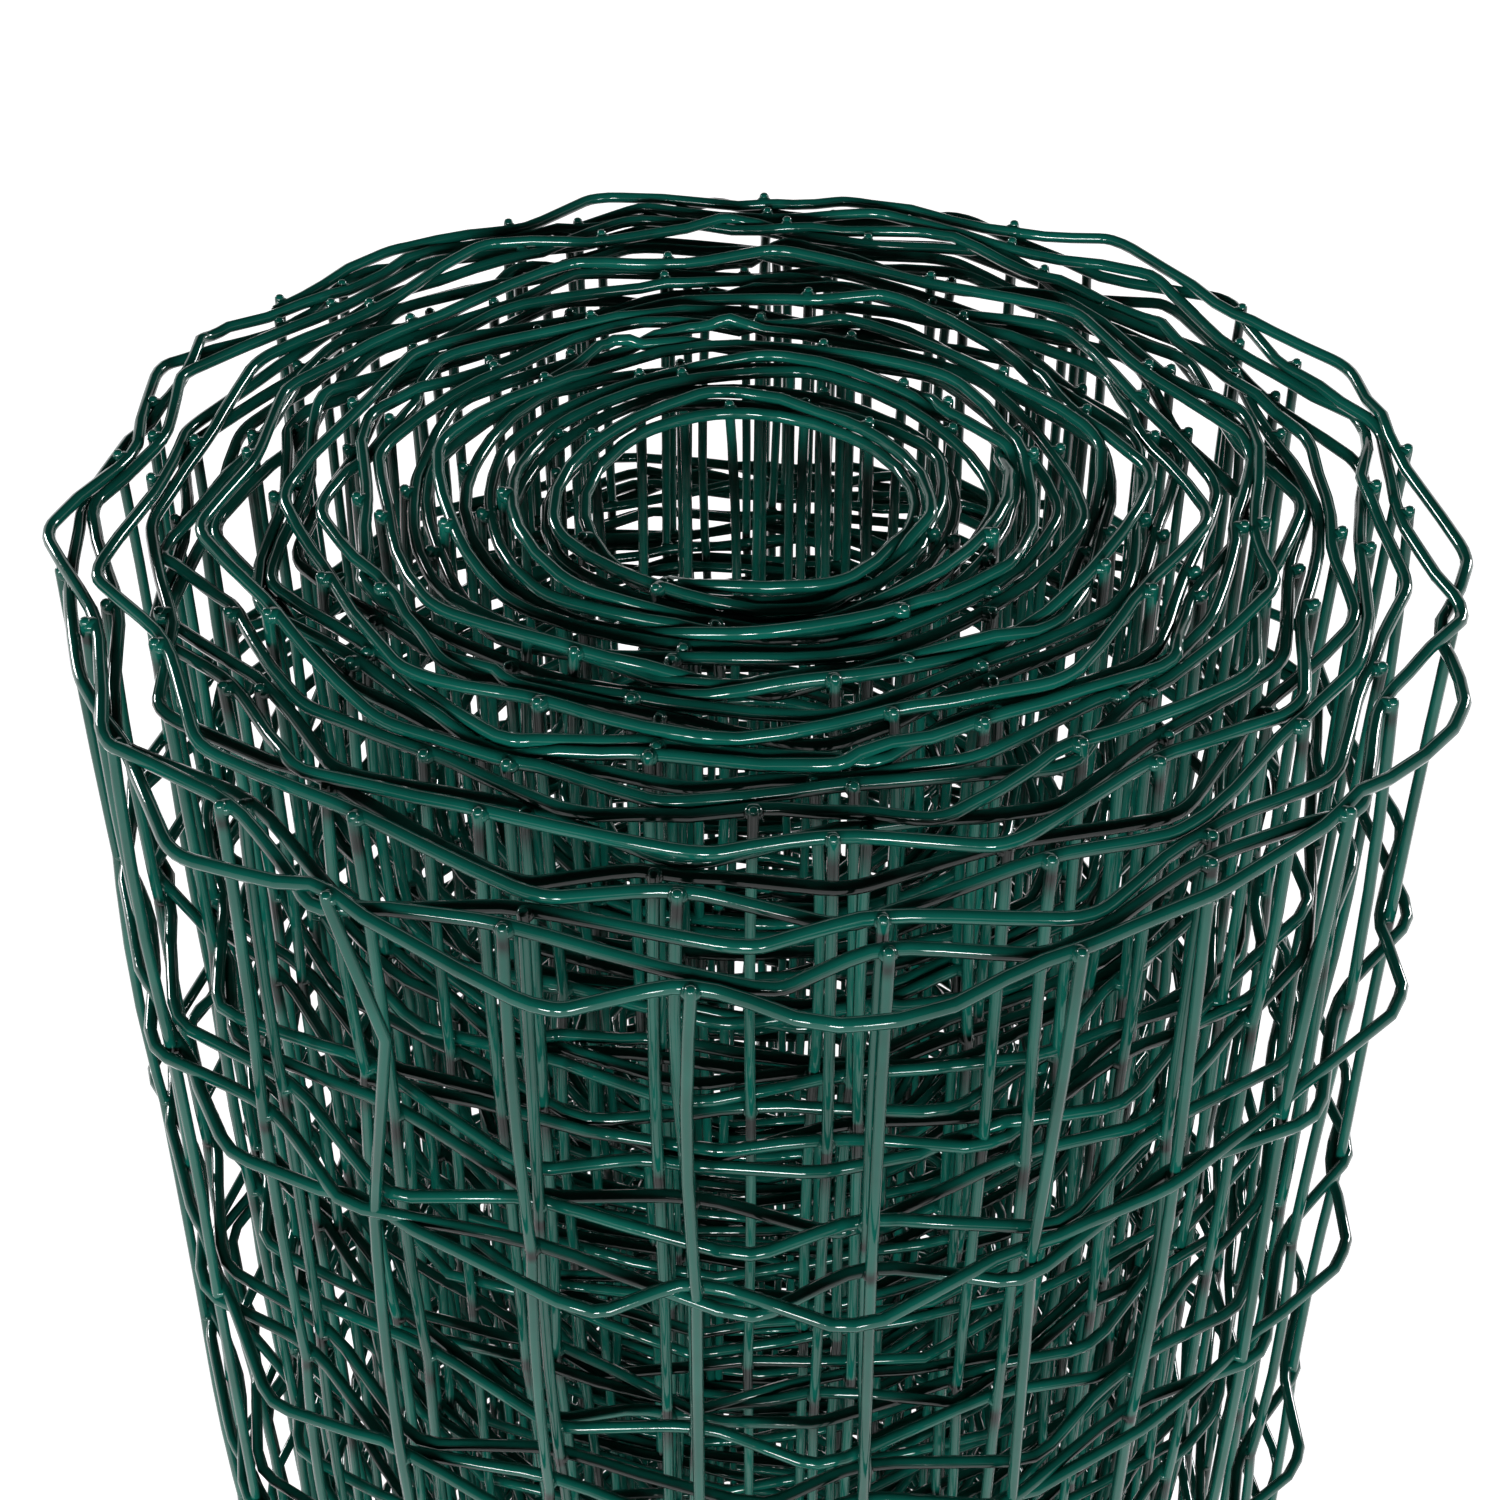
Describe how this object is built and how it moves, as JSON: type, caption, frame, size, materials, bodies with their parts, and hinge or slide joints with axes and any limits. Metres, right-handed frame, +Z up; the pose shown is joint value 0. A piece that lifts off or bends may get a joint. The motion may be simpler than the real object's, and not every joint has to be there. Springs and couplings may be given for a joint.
{
  "type": "roll of welded wire fencing",
  "caption": "Upright roll of green plastic-coated welded wire mesh fencing, wound round an open bore and standing on end.",
  "frame": {"origin": "centre of the roll's lower end, on the floor", "axes": "+Z up along the roll's axis"},
  "size_m": [0.2999, 0.3, 0.9986],
  "materials": {
    "coated_wire": "gloss deep green plastic coating on steel wire"
  },
  "bodies": {
    "root": {"fence_roll": "coated_wire"}
  },
  "joints": []
}
